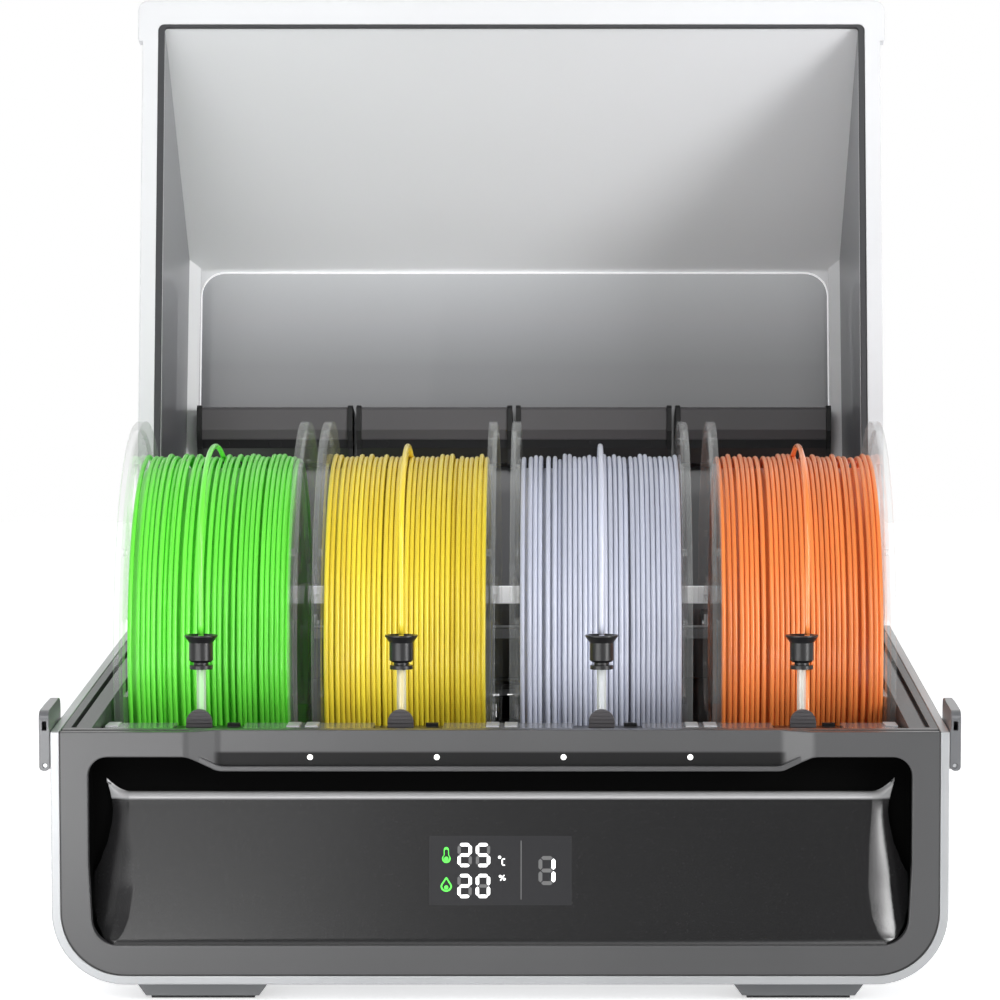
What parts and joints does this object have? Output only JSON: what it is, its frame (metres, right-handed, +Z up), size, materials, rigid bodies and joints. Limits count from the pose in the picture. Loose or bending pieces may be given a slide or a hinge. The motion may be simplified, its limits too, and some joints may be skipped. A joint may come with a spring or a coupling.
{
  "type": "filament dryer box",
  "caption": "Box that dries and feeds filament spools on rollers, with a front display, side latches and a deep hinged lid that holds desiccant boxes.",
  "frame": {"origin": "on the floor, in the middle of the area that the box covers with its lid open", "axes": "+Z up, -Y towards the front with the display, +X to the right as seen from the front"},
  "size_m": [0.38, 0.4962, 0.4407],
  "materials": {
    "silver_case": "satin silver",
    "fascia": "glossy grey",
    "front_panel": "glossy dark grey",
    "display": "smoked",
    "circuit": "matt",
    "lamp": "frosted",
    "tray": "fine texture",
    "deck": "satin",
    "white_trim": "satin",
    "black_part": "matt",
    "tab": "matt",
    "tube": "clear",
    "green_filament": "glossy",
    "yellow_filament": "glossy",
    "lavender_filament": "glossy",
    "orange_filament": "glossy",
    "bush": "sintered",
    "heater": "satin",
    "foot": "matt",
    "rubber": "matt",
    "steel": "satin",
    "latch": "satin",
    "lid_frame": "gloss white",
    "lid_shell": "satin",
    "lid_liner": "satin",
    "smoke_window": "smoked",
    "desiccant_case": "matt",
    "clear_plastic": "clear"
  },
  "bodies": {
    "housing": {"outer_shell": "silver_case", "front_fascia": "fascia", "front_panel": "front_panel", "display_window": "display", "display_board": "circuit", "indicator_lenses": "lamp", "spool_tray": "tray", "front_deck": "deck", "bay_guides": "white_trim", "feeder_1": "black_part", "feeder_2": "black_part", "feeder_3": "black_part", "feeder_4": "black_part", "guide_tubes": "tube", "funnels": "black_part", "filament_leads": "lavender_filament", "roller_bushes": "bush", "fan_frame": "black_part", "heater_block": "heater", "control_board": "circuit", "tube_outlets": "black_part", "power_socket": "black_part", "feet": "foot", "foot_pads": "rubber", "case_screws": "steel", "hinge_pins": "steel", "latch_pins": "steel"},
    "lid": {"lid_frame": "lid_frame", "lid_shell": "lid_shell", "lid_liner": "lid_liner", "lid_window": "smoke_window", "lid_gasket": "rubber", "dry_box_1": "desiccant_case", "dry_box_2": "desiccant_case", "dry_box_3": "desiccant_case", "dry_box_4": "desiccant_case", "dry_box_caps": "black_part"},
    "left_latch": {"left_latch": "latch"},
    "right_latch": {"right_latch": "latch"},
    "fan_rotor": {"fan_rotor": "black_part"},
    "spool_1": {"spool_1": "clear_plastic", "filament_1": "green_filament"},
    "front_roller_1": {"front_roller_1": "rubber"},
    "rear_roller_1": {"rear_roller_1": "rubber"},
    "release_tab_1": {"release_tab_1": "tab"},
    "spool_2": {"spool_2": "clear_plastic", "filament_2": "yellow_filament"},
    "front_roller_2": {"front_roller_2": "rubber"},
    "rear_roller_2": {"rear_roller_2": "rubber"},
    "release_tab_2": {"release_tab_2": "tab"},
    "spool_3": {"spool_3": "clear_plastic", "filament_3": "lavender_filament"},
    "front_roller_3": {"front_roller_3": "rubber"},
    "rear_roller_3": {"rear_roller_3": "rubber"},
    "release_tab_3": {"release_tab_3": "tab"},
    "spool_4": {"spool_4": "clear_plastic", "filament_4": "orange_filament"},
    "front_roller_4": {"front_roller_4": "rubber"},
    "rear_roller_4": {"rear_roller_4": "rubber"},
    "release_tab_4": {"release_tab_4": "tab"}
  },
  "joints": [
    {"name": "lid_hinge", "type": "hinge", "parent": "housing", "child": "lid", "pos_m": [0, 0.05992, 0.13357], "axis": [1, 0, 0], "range_deg": [0, 104]},
    {"name": "left_latch_hinge", "type": "hinge", "parent": "housing", "child": "left_latch", "pos_m": [-0.18762, -0.22757, 0.0982], "axis": [0, -1, 0], "range_deg": [0, 80]},
    {"name": "right_latch_hinge", "type": "hinge", "parent": "housing", "child": "right_latch", "pos_m": [0.18762, -0.22757, 0.0982], "axis": [0, 1, 0], "range_deg": [0, 80]},
    {"name": "spool_1_spin", "type": "hinge", "parent": "housing", "child": "spool_1", "pos_m": [-0.1266, -0.09168, 0.1364], "axis": [1, 0, 0], "continuous": true},
    {"name": "front_roller_1_spin", "type": "hinge", "parent": "housing", "child": "front_roller_1", "pos_m": [-0.1266, -0.16065, 0.0542], "axis": [1, 0, 0], "continuous": true},
    {"name": "rear_roller_1_spin", "type": "hinge", "parent": "housing", "child": "rear_roller_1", "pos_m": [-0.1266, -0.0227, 0.0542], "axis": [1, 0, 0], "continuous": true},
    {"name": "release_tab_1_slide", "type": "slide", "parent": "housing", "child": "release_tab_1", "axis": [0, 1, 0], "range_m": [0, 0.003], "stiffness_N_per_m": 150},
    {"name": "spool_2_spin", "type": "hinge", "parent": "housing", "child": "spool_2", "pos_m": [-0.0422, -0.09168, 0.1364], "axis": [1, 0, 0], "continuous": true},
    {"name": "front_roller_2_spin", "type": "hinge", "parent": "housing", "child": "front_roller_2", "pos_m": [-0.0422, -0.16065, 0.0542], "axis": [1, 0, 0], "continuous": true},
    {"name": "rear_roller_2_spin", "type": "hinge", "parent": "housing", "child": "rear_roller_2", "pos_m": [-0.0422, -0.0227, 0.0542], "axis": [1, 0, 0], "continuous": true},
    {"name": "release_tab_2_slide", "type": "slide", "parent": "housing", "child": "release_tab_2", "axis": [0, 1, 0], "range_m": [0, 0.003], "stiffness_N_per_m": 150},
    {"name": "spool_3_spin", "type": "hinge", "parent": "housing", "child": "spool_3", "pos_m": [0.0422, -0.09168, 0.1364], "axis": [1, 0, 0], "continuous": true},
    {"name": "front_roller_3_spin", "type": "hinge", "parent": "housing", "child": "front_roller_3", "pos_m": [0.0422, -0.16065, 0.0542], "axis": [1, 0, 0], "continuous": true},
    {"name": "rear_roller_3_spin", "type": "hinge", "parent": "housing", "child": "rear_roller_3", "pos_m": [0.0422, -0.0227, 0.0542], "axis": [1, 0, 0], "continuous": true},
    {"name": "release_tab_3_slide", "type": "slide", "parent": "housing", "child": "release_tab_3", "axis": [0, 1, 0], "range_m": [0, 0.003], "stiffness_N_per_m": 150},
    {"name": "spool_4_spin", "type": "hinge", "parent": "housing", "child": "spool_4", "pos_m": [0.1289, -0.09168, 0.1364], "axis": [1, 0, 0], "continuous": true},
    {"name": "front_roller_4_spin", "type": "hinge", "parent": "housing", "child": "front_roller_4", "pos_m": [0.1266, -0.16065, 0.0542], "axis": [1, 0, 0], "continuous": true},
    {"name": "rear_roller_4_spin", "type": "hinge", "parent": "housing", "child": "rear_roller_4", "pos_m": [0.1266, -0.0227, 0.0542], "axis": [1, 0, 0], "continuous": true},
    {"name": "release_tab_4_slide", "type": "slide", "parent": "housing", "child": "release_tab_4", "axis": [0, 1, 0], "range_m": [0, 0.003], "stiffness_N_per_m": 150},
    {"name": "fan_spin", "type": "hinge", "parent": "housing", "child": "fan_rotor", "pos_m": [0, 0.01733, 0.078], "axis": [0, 1, 0], "continuous": true}
  ]
}
